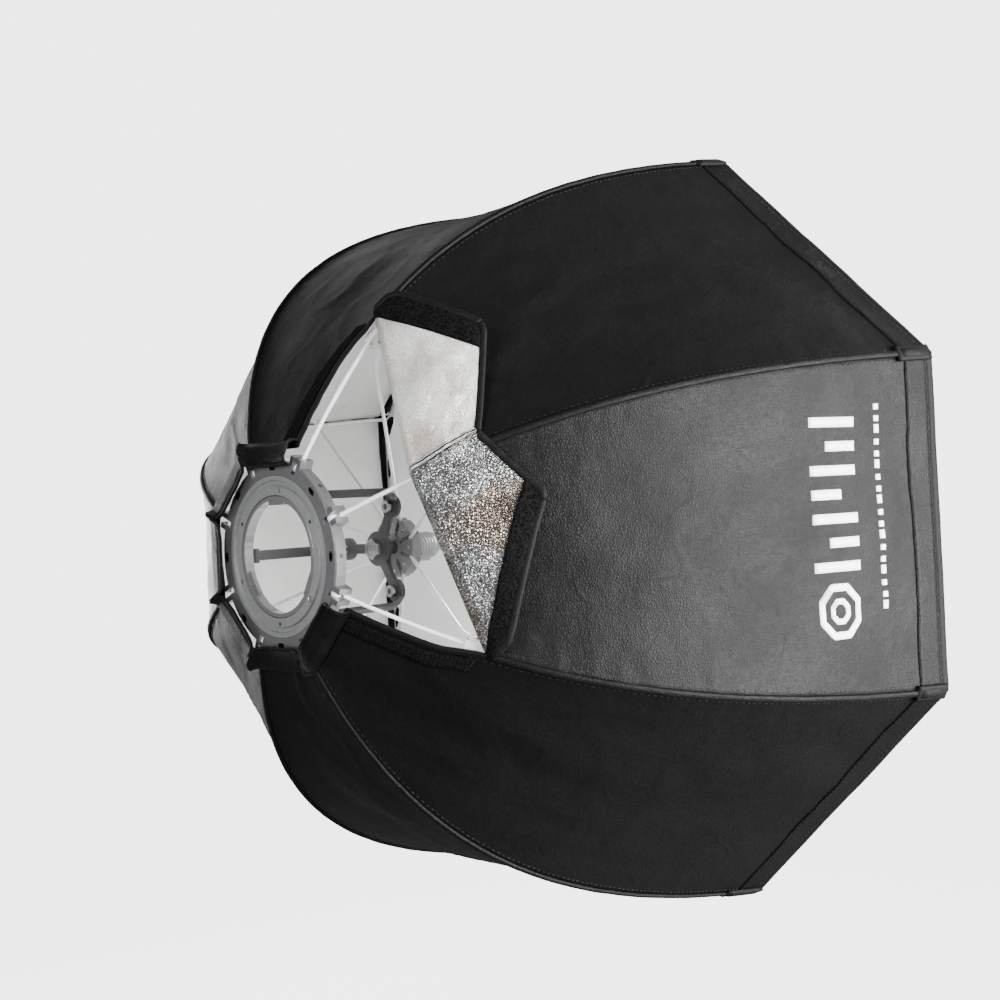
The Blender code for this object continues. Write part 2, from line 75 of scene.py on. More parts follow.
# (radius, depth) from the pin
RIB_CURVE = np.array(((0.0, 0.0), (231.0, 72.5), (261.0, 190.0), (312.0, 456.0)))
PIN_RADIUS = 80.0
PIN_DEPTH = 6.0
CLIP_AT = 0.205  # share of the rib curve where the strut's clip sits
CLIP_DROP = 6.0
ROD = 3.5
CLOTH = 1.0
BEND_FROM = 205.0  # radii between which a rib's bow opens
BEND_TO = 330.0
OPENING_OUTER = 214.0  # radii of the opening's fold line at its corners and in its middle
OPENING_MIDDLE = 163.5
OPENED = (1, 8)  # panels that end at the opening's fold line
FREED = {2: -1.0, 7: 1.0}  # panels beside the opening, and the side of each that is freed
FLAP_SLOPE = 62.0  # of the folded-back flap, measured from the axis
DIFFUSER_DEPTH = 424.0
DIFFUSER_SIDE = 358.5  # from the axis to a side of the diffuser
DIFFUSER_CORNER = 383.0
HEM = 40.0
RUNNER_FACE = 130.0  # depth of the hub's rear face
TAPE_SIDES = 10

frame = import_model()
FORWARD = Vector((0.0, -1.0, 0.0))

# --- hood geometry ---------------------------------------------------------------------------

def bezier(curve, t):
    t = np.asarray(t, float)[..., None]
    s = 1.0 - t
    return s ** 3 * curve[0] + 3 * t * s * s * curve[1] + 3 * t * t * s * curve[2] + t ** 3 * curve[3]

def profile_table():
    """Arc length back from the rim against depth, mid-facet radius and slope."""
    t = np.linspace(1.0, HOOD_START, 600)
    points = bezier(HOOD_CURVE, t)
    points[:, 1] *= math.cos(HALF)
    step = np.diff(points, axis=0)
    arc = np.concatenate([[0.0], np.cumsum(np.hypot(step[:, 0], step[:, 1]))])
    slope = np.gradient(points, axis=0)
    slope /= np.hypot(slope[:, 0], slope[:, 1])[:, None]
    return arc, points, -slope

ARC, PROFILE, SLOPE = profile_table()
S_END = float(ARC[-1])

def profile_at(s):
    """Depth, mid-facet radius, and the unit slope towards the rim, at s."""
    return (float(np.interp(s, ARC, PROFILE[:, 0])), float(np.interp(s, ARC, PROFILE[:, 1])),
            float(np.interp(s, ARC, SLOPE[:, 0])), float(np.interp(s, ARC, SLOPE[:, 1])))

def s_of_radius(radius):
    return float(np.interp(-radius * math.cos(HALF), -PROFILE[:, 1], ARC))

S_OUTER = s_of_radius(OPENING_OUTER)
S_MIDDLE = s_of_radius(OPENING_MIDDLE)

def radial(angle):
    a = math.radians(angle)
    return Vector((-math.cos(a), 0.0, math.sin(a)))

def round_way(angle):
    """Direction in which the angle grows."""
    a = math.radians(angle)
    return Vector((math.sin(a), 0.0, math.cos(a)))

def at(angle, radius, depth):
    """Point in metres at this angle, radius and depth."""
    return (radial(angle) * radius + FORWARD * depth) * MM

def mid_angle(k):
    return FIRST_RIB + (k - 0.5) * PITCH

def rib_angle(k):
    return FIRST_RIB + (k - 1) * PITCH

def span(low, high, steps):
    """Values from low to high, this many equal steps apart."""
    return [low + (high - low) * i / steps for i in range(steps + 1)]

def half_width(s):
    return profile_at(s)[1] * math.tan(HALF)

def smooth(value):
    value = min(1.0, max(0.0, value))
    return value * value * (3.0 - 2.0 * value)

def billow(k, s, x):
    """How far the cloth stands off its flat facet: tension sag, soft folds and puckers beside the seams."""
    w = half_width(s)
    v = max(-1.0, min(1.0, x / w))
    free = 1.0 - v * v
    sag = -4.5 * free * math.sin(math.pi * min(1.0, s / S_END) ** 0.9)
    folds = 3.0 * noise.noise(Vector((x / 85.0 + 7.3 * k, s / 120.0, 1.7 * k))) * free
    folds += 1.2 * noise.noise(Vector((x / 30.0 + 3.1 * k, s / 55.0, 2.3 * k))) * free
    to_seam = w - abs(x)
    side = 11.0 if x > 0 else 5.0
    pucker = 1.1 * noise.noise(Vector((s / 11.0, side + k, to_seam / 40.0)))
    pucker *= math.exp(-to_seam / 16.0) * (1.0 - math.exp(-to_seam / 5.0))
    spot = Vector((x / 48.0 + s / 150.0 + 4.7 * k, s / 75.0 - x / 160.0, 0.9 * k))
    ridge = 1.0 - abs(noise.noise(spot)) * 4.0
    folds += 0.9 * max(0.0, ridge) ** 2 * free
    hem = smooth(s / HEM)
    return sag + (folds * (0.25 + 0.75 * hem) + pucker * 1.6)

def surface(k, s, x, lift=0.0):
    """World point on panel k, in metres."""
    depth, middle, along, out = profile_at(s)
    stand = lift + billow(k, s, x)
    angle = mid_angle(k)
    point = radial(angle) * (middle + along * stand) + round_way(angle) * x + FORWARD * (depth - out * stand)
    return point * MM

def surface_normal(k, s):
    _, _, along, out = profile_at(s)
    return (radial(mid_angle(k)) * along - FORWARD * out).normalized()

# --- skinning to the frame's bodies ----------------------------------------------------------

RIGS = {}
FOLD_BODIES = [f"{part}_{k}" for part in ("rib", "tip", "panel") for k in range(1, SIDES + 1)]
FOLD_BODIES += ["diffuser", "flap_upper", "flap_side", "speedring"]

def rig_for(body):
    """Armature riding on a body, with one bone held on each folding body."""
    if body in RIGS:
        return RIGS[body]
    data = bpy.data.armatures.new(f"rig_{body}")
    rig = bpy.data.objects.new(f"rig_{body}", data)
    bpy.context.scene.collection.objects.link(rig)
    bpy.context.view_layer.objects.active = rig
    bpy.ops.object.mode_set(mode="EDIT")
    for name in FOLD_BODIES:
        bone = data.edit_bones.new(name)
        bone.head = (0.0, 0.0, 0.0)
        bone.tail = (0.0, 1.0, 0.0)
    bpy.ops.object.mode_set(mode="OBJECT")
    for name in FOLD_BODIES:
        hold = rig.pose.bones[name].constraints.new("COPY_TRANSFORMS")
        hold.target = frame["bodies"][name]
    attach(rig, body)
    rig.hide_render = True
    RIGS[body] = rig
    return rig

def hood_weights(point):
    """Share of each body in the motion of a point of the hood: ribs at the seams, the panel body between."""
    x, z = -point[0] / MM, point[2] / MM
    angle = math.degrees(math.atan2(z, x))
    place = ((angle - FIRST_RIB) / PITCH) % SIDES
    k = int(place) % SIDES
    off = math.radians((place - int(place) - 0.5) * PITCH)
    v = max(-1.0, min(1.0, math.tan(off) / math.tan(HALF)))
    radius = math.hypot(x, z) * math.cos(off) / math.cos(HALF)
    rib = (k if v < 0 else (k + 1) % SIDES) + 1
    edge = abs(v)
    bend = smooth((radius - BEND_FROM) / (BEND_TO - BEND_FROM))
    return {f"rib_{rib}": edge * (1.0 - bend), f"tip_{rib}": edge * bend, f"panel_{k + 1}": 1.0 - edge}

def rib_weights(k):
    def weights(point):
        radius = math.hypot(point[0], point[2]) / MM
        bend = smooth((radius - BEND_FROM) / (BEND_TO - BEND_FROM))
        return {f"rib_{k}": 1.0 - bend, f"tip_{k}": bend}
    return weights

def follow(obj, body, shares):
    """Make a piece ride on a body and bend with the bodies that each vertex's shares name."""
    rig = rig_for(body)
    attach(obj, body)
    groups = {}
    for vertex, found in zip(obj.data.vertices, shares):
        for name, share in found.items():
            if share <= 0.0:
                continue
            if name not in groups:
                groups[name] = obj.vertex_groups.new(name=name)
            groups[name].add([vertex.index], share, "REPLACE")
    bend = obj.modifiers.new("follow_frame", "ARMATURE")
    bend.object = rig

def skin(obj, body, weights):
    follow(obj, body, [weights(vertex.co) for vertex in obj.data.vertices])

def held_weights(point, holder, held):
    """The hood's shares, with this much of them taken over by the holder."""
    found = {name: value * (1.0 - held) for name, value in hood_weights(point).items()}
    found[holder] = held
    return found

# --- mesh helpers ----------------------------------------------------------------------------

def link(name, data):
    obj = bpy.data.objects.new(name, data)
    bpy.context.scene.collection.objects.link(obj)
    return obj

def new_mesh(name, verts, faces, material, flat, shade=True):
    """Mesh object; flat is each vertex's place on the flat cloth, which the materials follow."""
    mesh = bpy.data.meshes.new(name)
    mesh.from_pydata([tuple(v) for v in verts], [], faces)
    for mat in material if isinstance(material, list) else [material]:
        mesh.materials.append(mat)
    attribute = mesh.attributes.new("flat", "FLOAT_VECTOR", "POINT")
    attribute.data.foreach_set("vector", np.array(flat, np.float32).ravel())
    if shade:
        mesh.polygons.foreach_set("use_smooth", [True] * len(mesh.polygons))
    return link(name, mesh)

def grid_faces(rows, columns, flip=False):
    faces = []
    for i in range(rows - 1):
        for j in range(columns - 1):
            a = i * columns + j
            face = (a, a + 1, a + columns + 1, a + columns)
            faces.append(face[::-1] if flip else face)
    return faces

def tube_faces(rows, sides):
    """Faces of a closed tube of rows of vertices, without its ends."""
    faces = []
    for i in range(rows - 1):
        for j in range(sides):
            a = i * sides + j
            b = i * sides + (j + 1) % sides
            faces.append((a, b, b + sides, a + sides))
    return faces

def end_faces(rows, sides):
    return tuple(range(sides))[::-1], tuple((rows - 1) * sides + j for j in range(sides))

def thicken(obj, thickness, inner=0, rim=0):
    """Give a cloth its thickness; inner and rim are the material slots of its back and its cut edge."""
    wall = obj.modifiers.new("thickness", "SOLIDIFY")
    wall.thickness = thickness * MM
    wall.offset = -1.0
    wall.material_offset = inner
    wall.material_offset_rim = rim

class Parts:
    """Collects several small shapes into one mesh."""

    def __init__(self):
        self.verts = []
        self.faces = []
        self.flat = []

    def add(self, verts, faces, flat=None):
        base = len(self.verts)
        self.verts += [Vector(v) for v in verts]
        self.faces += [tuple(base + i for i in face) for face in faces]
        self.flat += flat if flat is not None else [(v[0], v[1], v[2]) for v in verts]

    def brick(self, centre, along, normal, length, width, height):
        """Small block on a surface; sizes in millimetres."""
        along = along.normalized()
        normal = normal.normalized()
        side = normal.cross(along)
        verts = [centre + (along * (i * length / 2) + side * (j * width / 2) + normal * (h * height)) * MM
                 for i in (-1, 1) for j in (-1, 1) for h in (-0.5, 1.0)]
        self.add(verts, [(0, 1, 3, 2), (4, 6, 7, 5), (0, 4, 5, 1), (2, 3, 7, 6), (1, 5, 7, 3), (0, 2, 6, 4)])

    def tape(self, points, normals, width, height, sides=TAPE_SIDES, power=1.0):
        """Flattened tube along points; width lies along the surface, height along the normal. A power under 1
        squares its section."""
        count = len(points)
        verts = []
        flat = []
        travelled = 0.0
        for i, point in enumerate(points):
            ahead = points[min(i + 1, count - 1)]
            behind = points[max(i - 1, 0)]
            along = (ahead - behind).normalized()
            normal = (normals[i] - along * normals[i].dot(along)).normalized()
            side = normal.cross(along)
            if i:
                travelled += (point - points[i - 1]).length
            for j in range(sides):
                a = 2 * math.pi * j / sides
                c = math.copysign(abs(math.cos(a)) ** power, math.cos(a))
                d = math.copysign(abs(math.sin(a)) ** power, math.sin(a))
                verts.append(point + (side * (c * width / 2) + normal * (d * height / 2)) * MM)
                flat.append((travelled, j * 0.002, 0.0))
        self.add(verts, tube_faces(count, sides) + list(end_faces(count, sides)), flat)

    def disc(self, centre, axis, radius, low, high, sides=16, dome=0.0):
        """Cylinder about an axis through centre, optionally with a domed top."""
        axis = axis.normalized()
        across = axis.orthogonal().normalized()
        other = axis.cross(across)
        levels = [(radius, low), (radius, high - dome), (radius * 0.8, high - dome * 0.35),
                  (radius * 0.45, high)]
        if dome <= 0.0:
            levels = [(radius, low), (radius, high)]
        turns = [2 * math.pi * j / sides for j in range(sides)]
        verts = [centre + (across * (r * math.cos(a)) + other * (r * math.sin(a)) + axis * h) * MM
                 for r, h in levels for a in turns]
        first, last = end_faces(len(levels), sides)
        self.add(verts, [first, *tube_faces(len(levels), sides), last])

    def build(self, name, material, shade=True):
        return new_mesh(name, self.verts, self.faces, material, self.flat, shade)

def flat_edges(obj, angle=35.0):
    """Keep the sharp edges of a smoothly shaded hard part."""
    bm = bmesh.new()
    bm.from_mesh(obj.data)
    for edge in bm.edges:
        edge.smooth = len(edge.link_faces) == 2 and edge.calc_face_angle() < math.radians(angle)
    bm.to_mesh(obj.data)
    bm.free()
    return obj

def hardware(parts, name, look, body):
    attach(flat_edges(parts.build(name, look)), body)

# --- materials -------------------------------------------------------------------------------

def grey(value):
    return (value, value, value)

class Look:
    """A material under way. Its textures follow the flat cloth, or else the object, and each bump lies on the
    ones before it."""

    def __init__(self, name, colour, roughness, metallic=0.0, specular=0.5, on_cloth=True):
        self.mat = bpy.data.materials.new(name)
        self.mat.use_nodes = True
        self.tree = self.mat.node_tree
        self.shader = self.tree.nodes["Principled BSDF"]
        self.on_cloth = on_cloth
        self.vector = None
        self.last_bump = None
        for socket, value in (("Base Color", (*colour, 1.0)), ("Roughness", roughness),
                              ("Metallic", metallic), ("Specular IOR Level", specular)):
            self.shader.inputs[socket].default_value = value

    def node(self, kind, links=(), **values):
        node = self.tree.nodes.new(f"ShaderNode{kind}")
        for socket, value in values.items():
            node.inputs[socket].default_value = value
        for socket, source in links:
            self.tree.links.new(source, node.inputs[socket])
        return node

    def places(self):
        if self.vector is None and self.on_cloth:
            source = self.node("Attribute")
            source.attribute_name = "flat"
            self.vector = source.outputs["Vector"]
        elif self.vector is None:
            self.vector = self.node("TexCoord").outputs["Object"]
        return self.vector

    def noise(self, scale, detail=3.0, rough=0.5, output="Fac"):
        links = [("Vector", self.places())]
        return self.node("TexNoise", links, Scale=scale, Detail=detail, Roughness=rough).outputs[output]

    def ramp(self, factor, *stops):
        node = self.node("ValToRGB", [("Fac", factor)])
        while len(node.color_ramp.elements) < len(stops):
            node.color_ramp.elements.new(0.5)
        for element, (position, colour) in zip(node.color_ramp.elements, stops):
            element.position = position
            element.color = (*colour, 1.0)
        return node.outputs["Color"]

    def blend(self, first, second, kind="MIX", factor=None):
        node = self.node("Mix")
        node.data_type = "RGBA"
        node.blend_type = kind
        if factor is None:
            node.inputs["Factor"].default_value = 1.0
        else:
            self.tree.links.new(factor, node.inputs["Factor"])
        self.tree.links.new(first, node.inputs[6])
        self.tree.links.new(second, node.inputs[7])
        return node.outputs[2]

    def pressed(self, warp_scale, warp, scale, edge):
        """Pressed pattern of warped cells: 0 in the grooves between them, 1 on the cells."""
        bend = self.node("VectorMath")
        bend.operation = "MULTIPLY_ADD"
        bend.inputs[1].default_value = (warp, warp, warp)
        self.tree.links.new(self.noise(warp_scale, 2.0, output="Color"), bend.inputs[0])
        self.tree.links.new(self.places(), bend.inputs[2])
        cells = self.node("TexVoronoi", Scale=scale)
        cells.feature = "DISTANCE_TO_EDGE"
        self.tree.links.new(bend.outputs["Vector"], cells.inputs["Vector"])
        return self.ramp(cells.outputs["Distance"], (0.0, grey(0.0)), (edge, grey(1.0)))

    def creases(self):
        """Short thin lines: the middle contour of one noise, broken up by another."""
        line = self.ramp(self.noise(10.0, 1.0, 0.4), (0.482, grey(0.0)), (0.5, grey(1.0)), (0.518, grey(0.0)))
        mask = self.ramp(self.noise(13.0, 1.0), (0.5, grey(0.0)), (0.68, grey(1.0)))
        return self.blend(line, mask, "MULTIPLY")

    def bump(self, height, strength, distance):
        node = self.node("Bump", [("Height", height)], Strength=strength, Distance=distance)
        if self.last_bump is not None:
            self.tree.links.new(self.last_bump.outputs["Normal"], node.inputs["Normal"])
        self.last_bump = node
        self.feed("Normal", node.outputs["Normal"])

    def feed(self, socket, source):
        self.tree.links.new(source, self.shader.inputs[socket])

def leather_cloth():
    """Black coated cloth: a fine pressed grain, soft rumples and short thin creases."""
    look = Look("hood_black", (0.0026, 0.0027, 0.003), 0.42, 0.0, 0.1)
    pebble = look.pressed(90.0, 0.004, 430.0, 0.3)
    look.bump(look.noise(24.0), 0.55, 0.004)
    look.bump(look.creases(), 0.3, 0.0012)
    look.bump(pebble, 0.5, 0.0004)
    look.bump(look.noise(900.0, 2.0), 0.16, 0.0003)
    # Painted shade: the colour is darker in the grooves of the pressed grain than on its cells.
    look.feed("Base Color", look.ramp(pebble, (0.0, grey(0.0014)), (1.0, grey(0.0032))))
    look.feed("Roughness", look.ramp(look.noise(14.0, 4.0), (0.3, grey(0.5)), (0.7, grey(0.6))))
    return look.mat

def plain_black(name, roughness, scale, strength, level=0.003, depth=0.0006, specular=0.08):
    """Black tape, hook strip or thread, speckled by its weave."""
    look = Look(name, grey(level), roughness, 0.0, specular)
    weave = look.noise(scale, 3.0, 0.7)
    look.bump(weave, strength, depth)
    look.feed("Base Color", look.ramp(weave, (0.38, grey(level * 0.3)), (0.64, grey(level * 2.6))))
    return look.mat

def lining_silver():
    look = Look("lining_silver", (0.84, 0.84, 0.82), 0.36, 0.45)
    soft = look.noise(30.0, 5.0, 0.6)
    look.bump(soft, 0.4, 0.004)
    look.bump(look.noise(800.0, 2.0), 0.12, 0.0003)
    look.feed("Base Color", look.ramp(soft, (0.25, (0.76, 0.76, 0.75)), (0.8, (0.88, 0.88, 0.865))))
    return look.mat

def flap_silver(name, coarse):
    """Silvered lining: finely pressed on one half, crinkled foil with brown patches on the other."""
    if coarse:
        metallic, roughness, cell, shade = 0.85, 0.3, 480.0, 0.5
        bumps = ((0.8, 0.007), (0.9, 0.0012), (0.5, 0.0006))
        cold = ((0.0, (0.12, 0.122, 0.126)), (0.5, (0.36, 0.365, 0.37)), (1.0, (0.8, 0.805, 0.81)))
        warm = ((0.0, (0.06, 0.045, 0.036)), (0.5, (0.27, 0.215, 0.175)), (1.0, (0.72, 0.65, 0.58)))
    else:
        metallic, roughness, cell, shade = 0.35, 0.36, 700.0, 0.66
        bumps = ((0.8, 0.006), (0.6, 0.0008), (0.35, 0.0006))
        cold = ((0.0, (0.45, 0.44, 0.42)), (0.5, (0.92, 0.91, 0.89)), (1.0, (0.99, 0.99, 0.98)))
        warm = ((0.0, (0.36, 0.3, 0.24)), (0.5, (0.84, 0.76, 0.66)), (1.0, (0.95, 0.9, 0.82)))
    look = Look(name, (0.74, 0.72, 0.69), roughness, metallic)
    cells = look.pressed(110.0, 0.006, cell, 0.34)
    # Partly painted shade: patches mixes in the warm ramp, the foil's own brown tone, which is also darker
    # and so paints broad shade.
    patches = look.ramp(look.noise(20.0), (0.42, grey(0.0)), (0.6, grey(1.0)))
    folds = look.noise(34.0, 4.0)
    # Painted shade: cold and warm are darkest in the grooves between the cells.
    colour = look.blend(look.ramp(cells, *cold), look.ramp(cells, *warm), factor=patches)
    # Painted shade: depth darkens the colour along the folds, down to the factor shade at their deepest.
    depth = look.ramp(folds, (0.38, grey(shade)), (0.6, grey(1.0)))
    look.feed("Base Color", look.blend(colour, depth, "MULTIPLY"))
    for height, (strength, distance) in zip((folds, cells, look.noise(700.0, 3.0, 0.6)), bumps):
        look.bump(height, strength, distance)
    return look.mat

def metal(name, colour, roughness, metallic, grain, scale):
    """Metal, paint or plastic with a slight grain."""
    look = Look(name, colour, roughness, metallic, on_cloth=False)
    spots = look.noise(scale)
    dark = tuple(c * 0.9 for c in colour)
    light = tuple(min(1.0, c * 1.08) for c in colour)
    look.feed("Base Color", look.ramp(spots, (0.3, dark), (0.7, light)))
    look.bump(spots, grain, 0.0003)
    return look.mat

def diffuser_white():
    look = Look("diffuser_white", grey(0.82), 0.75, 0.0, 0.3)
    soft = look.noise(12.0, 4.0)
    look.feed("Base Color", look.ramp(soft, (0.3, grey(0.78)), (0.7, grey(0.86))))
    look.bump(soft, 0.3, 0.01)
    look.bump(look.noise(700.0, 2.0), 0.2, 0.0004)
    return look.mat

HOOD = leather_cloth()
TAPE = plain_black("binding_tape", 0.62, 700.0, 0.5)
HOOK = plain_black("hook_strip", 0.95, 520.0, 0.9, 0.0036, 0.0014, 0.02)
THREAD = plain_black("thread", 0.6, 900.0, 0.3, 0.009)
LINING = lining_silver()
SILVER_FINE = flap_silver("flap_silver_fine", False)
SILVER_COARSE = flap_silver("flap_silver_coarse", True)
WHITE_CLOTH = diffuser_white()
PRINT = metal("print_white", (0.8, 0.8, 0.8), 0.5, 0.0, 0.05, 500.0)
LOOKS = {
    "ring_silver": metal("ring_silver_look", (0.25, 0.25, 0.26), 0.28, 0.85, 0.12, 260.0),
    "cast_silver": metal("cast_silver_look", (0.4, 0.405, 0.41), 0.32, 0.8, 0.15, 220.0),
    "bright_steel": metal("bright_steel_look", (0.5, 0.5, 0.51), 0.24, 1.0, 0.05, 400.0),
    "spider_grey": metal("spider_grey_look", (0.04, 0.04, 0.042), 0.4, 0.35, 0.2, 350.0),
    "runner_grey": metal("runner_grey_look", (0.15, 0.15, 0.154), 0.42, 0.1, 0.15, 300.0),
    "rod_white": metal("rod_white_look", (0.88, 0.88, 0.88), 0.3, 0.05, 0.05, 200.0),
    "black_plastic": metal("black_plastic_look", (0.018, 0.018, 0.019), 0.45, 0.0, 0.25, 500.0),
}
DARK = LOOKS["black_plastic"]

# --- hood panels -----------------------------------------------------------------------------

def last_s(k, v):
    """Where panel k ends towards the ring: at the ring, or at the fold line on the two opened panels."""
    if k == 1:
        return S_MIDDLE + (S_OUTER - S_MIDDLE) * (v + 1.0) / 2.0
    if k == 8:
        return S_OUTER + (S_MIDDLE - S_OUTER) * (v + 1.0) / 2.0
    return S_END

def pulled_back(k, v, s):
    """Millimetres that the freed edges beside the opening draw back from their rib."""
    if v * FREED.get(k, 0.0) <= 0.0 or s < S_OUTER:
        return 0.0
    return 7.0 * smooth((s - S_OUTER) / 40.0) * abs(v) ** 3

def held_width(k, v, s):
    return half_width(s) - pulled_back(k, v, s)

def sew(obj, k):
    """Hold a piece of the hood on panel k."""
    skin(obj, f"panel_{k}", hood_weights)

def build_panel(k):
    rows, columns = 108, 43
    verts, flat = [], []
    for share in span(0.0, 1.0, rows - 1):
        for v in span(-1.0, 1.0, columns - 1):
            s = last_s(k, v) * share
            x = v * held_width(k, v, s)
            verts.append(surface(k, s, x))
            flat.append((s * MM, x * MM + k * 0.7, 0.0))
    panel = new_mesh(f"hood_panel_{k}", verts, grid_faces(rows, columns), [HOOD, LINING, TAPE], flat)
    sew(panel, k)
    thicken(panel, CLOTH, 1, 1 if k in OPENED else 2)
    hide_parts(f"panel_{k}")
    return panel

def band(k, s0, s1, lift, name, material, rows, columns, inset):
    """Strip of cloth sewn right across a panel, between two distances from the rim."""
    verts, flat = [], []
    for s in span(s0, s1, rows - 1):
        w = half_width(s)
        for x in span(inset - w, w - inset, columns - 1):
            verts.append(surface(k, s, x, lift))
            flat.append((s * MM, x * MM, k * 0.3))
    strip = new_mesh(name, verts, grid_faces(rows, columns), material, flat)
    sew(strip, k)
    thicken(strip, 0.9)

def tape_along(parts, k, path, width, height, lift):
    points = [surface(k, s, x, lift) for s, x in path]
    normals = [surface_normal(k, s) for s, _ in path]
    parts.tape(points, normals, width, height)

def panel_trim(k):
    """Binding of a panel's rim, of its rear edge and of an edge that the opening frees."""
    parts = Parts()
    s = 4.6
    tape_along(parts, k, [(s, half_width(s) * v) for v in span(-1.0, 1.0, 40)], 9.6, 3.6, -0.4)
    if k not in OPENED:
        s = S_END - 2.5
        tape_along(parts, k, [(s, held_width(k, v, s) * v) for v in span(-1.0, 1.0, 24)], 6.5, 3.6, -0.4)
    if k in FREED:
        side = FREED[k]
        path = [(s, side * (held_width(k, side, s) - 1.5)) for s in span(S_OUTER - 4.0, S_END - 1.0, 29)]
        tape_along(parts, k, path, 6.5, 3.2, -0.3)
    sew(parts.build(f"binding_{k}", TAPE), k)

def skirt(k):
    """Cloth beyond the panel's rear edge, drawn in over the ring's ears, with a loose point at each seam."""
    rows, columns = 14, 33
    depth, middle, _, _ = profile_at(S_END - 5.0)
    path = ((depth, middle + 1.2), (1.0, middle + 1.4), (-4.0, middle - 1.5), (-6.5, 83.5), (-5.5, 79.0))
    angle = mid_angle(k)
    verts, levels, flat = [], [], []
    for share in span(0.0, 1.0, rows - 1):
        here_depth, here_middle = poly_at(path, share)
        for v in span(-1.0, 1.0, columns - 1):
            corner = abs(v) ** 14 * smooth(share * 1.3)
            loose = 1.1 * noise.noise(Vector((v * 3.0 + k * 5.1, share * 2.0, 3.3)))
            radius = here_middle + 9.0 * corner + loose
            x = v * (here_middle * math.tan(HALF) + 2.5 * corner - pulled_back(k, v, S_END - 5.0))
            verts.append(at(angle, radius, here_depth - 3.5 * corner) + round_way(angle) * x * MM)
            levels.append(share)
            flat.append(((S_END + share * 24.0) * MM, x * MM + k * 0.7, 0.0))
    cloth = new_mesh(f"rear_skirt_{k}", verts, grid_faces(rows, columns), [HOOD, TAPE], flat)
    edge = Parts()
    edge.tape(verts[-columns:], [(radial(angle) - FORWARD).normalized()] * columns, 5.0, 3.2)
    binding = edge.build(f"rear_binding_{k}", TAPE)
    for obj, shares in ((cloth, levels), (binding, [1.0] * len(binding.data.vertices))):
        follow(obj, f"panel_{k}", [held_weights(vertex.co, "speedring", smooth(share / 0.7))
                                   for vertex, share in zip(obj.data.vertices, shares)])
    thicken(cloth, CLOTH, 1, 1)

def stitches(k):
    """Stitch rows along the hem and beside both seams."""
    parts = Parts()

    def row(path, lift):
        points = [surface(k, s, x, lift) for s, x in path]
        for i in range(0, len(path) - 1, 2):
            here, ahead = points[i], points[i + 1]
            parts.brick((here + ahead) * 0.5, ahead - here, surface_normal(k, path[i][0]), 2.8, 0.7, 0.35)

    for s in (HEM - 2.5, 11.5):
        w = half_width(s)
        row([(s, x) for x in span(-w, w, int(2 * w / 2.6))], 1.0)
    for side in (-1.0, 1.0):
        first, last = HEM + 2.0, last_s(k, side) - 6.0
        row([(s, side * (half_width(s) - 6.0)) for s in span(first, last, int((last - first) / 2.8))], 0.05)
    sew(parts.build(f"stitching_{k}", THREAD, False), k)

def hook_band(k):
    """Strip beside the opening that the flap closes onto."""
    side = FREED[k]
    rows, columns = 44, 5
    verts, flat = [], []
    for s in span(S_OUTER + 4.0, S_END - 6.0, rows - 1):
        for inward in span(7.0, 22.0, columns - 1):
            x = side * (held_width(k, side, s) - inward)
            verts.append(surface(k, s, x, 0.9))
            flat.append((s * MM, x * MM, 0.0))
    strip = new_mesh(f"hook_band_{k}", verts, grid_faces(rows, columns, side > 0.0), HOOK, flat)
    sew(strip, k)
    thicken(strip, 0.8)

def seam_piping(k):
    """Raised seam over rib k, with the sewn end pocket and its patch at the rim."""
    parts = Parts()
    last = {1: S_MIDDLE, 2: S_OUTER, 8: S_OUTER}.get(k, S_END) - 2.0
    points, normals = [], []
    angle = rib_angle(k)
    for s in span(6.0, last, 90):
        depth, middle, along, out = profile_at(s)
        wander = 0.35 * noise.noise(Vector((s / 17.0, k * 3.3, 0.0)))
        points.append(at(angle, middle / math.cos(HALF) + 0.5 + wander, depth))
        normals.append((radial(angle) * along - FORWARD * out).normalized())
    parts.tape(points, normals, 6.0, 3.6, 12, 0.8)
    patch = Parts()
    patch.tape(points[:9], normals[:9], 15.0, 4.6, 12, 0.55)
    patch.tape(points[1:8:2], normals[1:8:2], 9.0, 6.4, 12, 0.6)
    patch.tape([rib_point(angle, t) for t in span(0.95, 1.0, 6)], [radial(angle)] * 7, 11.0, 6.6, 12, 0.7)
    for piece in (parts.build(f"seam_{k}", HOOD), patch.build(f"rib_pocket_{k}", TAPE)):
        skin(piece, f"rib_{k}", rib_weights(k))

# --- flap ------------------------------------------------------------------------------------

def hood_corner(angle, radius):
    s = s_of_radius(radius)
    depth, middle, _, _ = profile_at(s)
    return at(angle, middle / math.cos(HALF), depth)

def flap_axes(corner, other, angle):
    """Origin and axes on the fold line: along it, out along the flap, and away from the hood."""
    slope = math.radians(FLAP_SLOPE)
    down = FORWARD * math.cos(slope) + radial(angle) * math.sin(slope)
    x = (other - corner).normalized()
    z = x.cross(down).normalized()
    if z.dot(radial(angle)) < 0.0:
        z = -z
    y = z.cross(x)
    if y.dot(down) < 0.0:
        y = -y
    return corner, x, y, z, (other - corner).length / MM

def poly_at(points, share):
    """Point at this share of a polyline's length."""
    pts = np.array(points, float)
    step = np.hypot(*np.diff(pts, axis=0).T)
    arc = np.concatenate([[0.0], np.cumsum(step)])
    here = share * arc[-1]
    return float(np.interp(here, arc, pts[:, 0])), float(np.interp(here, arc, pts[:, 1]))

